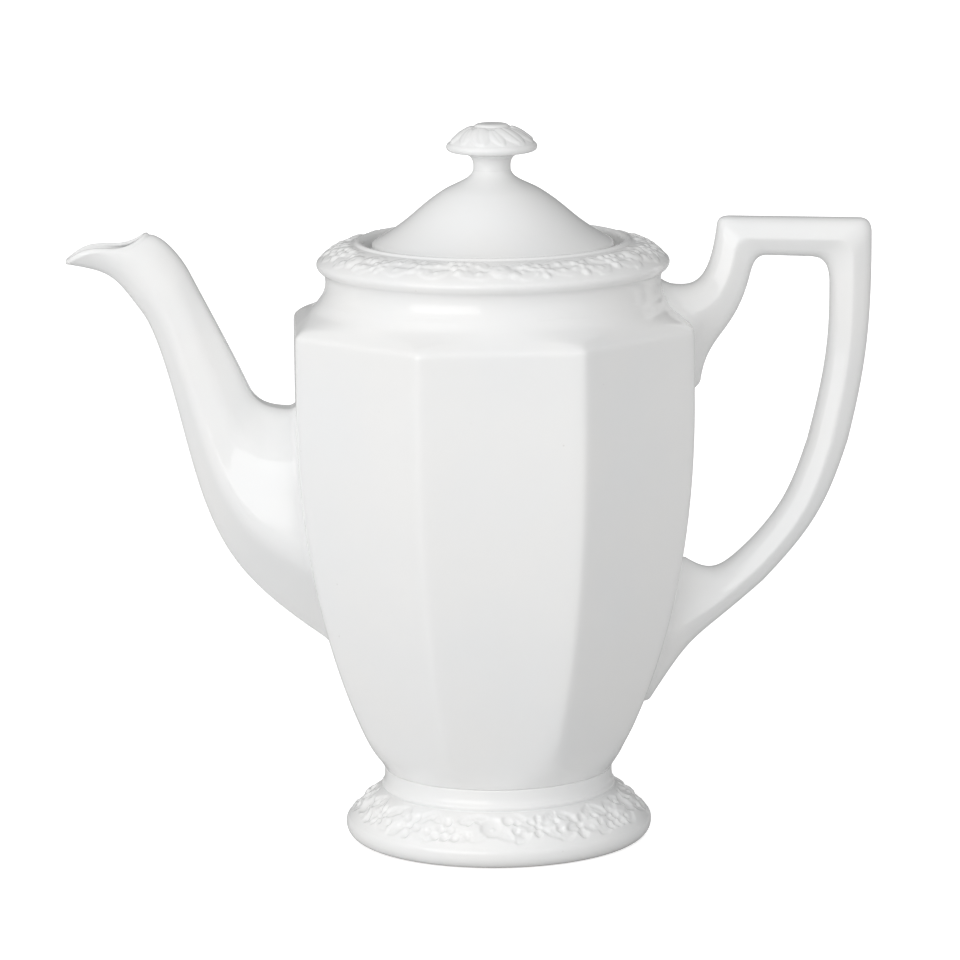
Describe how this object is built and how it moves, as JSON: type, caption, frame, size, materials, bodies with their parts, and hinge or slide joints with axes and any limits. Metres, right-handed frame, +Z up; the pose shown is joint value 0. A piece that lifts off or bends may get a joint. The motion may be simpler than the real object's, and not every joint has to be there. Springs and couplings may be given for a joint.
{
  "type": "coffee pot",
  "caption": "White porcelain coffee pot with an octagonal barrel, round foot, tall curved spout, angular handle and a lift-off lid with a mushroom knob.",
  "frame": {"origin": "centre of the foot's standing ring, on the table", "axes": "+Z up along the pot's own axis, -X towards the spout, +X towards the handle"},
  "size_m": [0.2441, 0.119, 0.22],
  "materials": {
    "white_glaze": "gloss"
  },
  "bodies": {
    "pot": {"body": "white_glaze", "foot": "white_glaze", "spout": "white_glaze", "handle": "white_glaze"},
    "lid_unit": {"lid": "white_glaze", "lid_lug": "white_glaze", "lid_knob": "white_glaze"}
  },
  "joints": [
    {"name": "lid_lift", "type": "slide", "parent": "pot", "child": "lid_unit", "axis": [0, 0, 1], "range_m": [0, 0.06]}
  ]
}
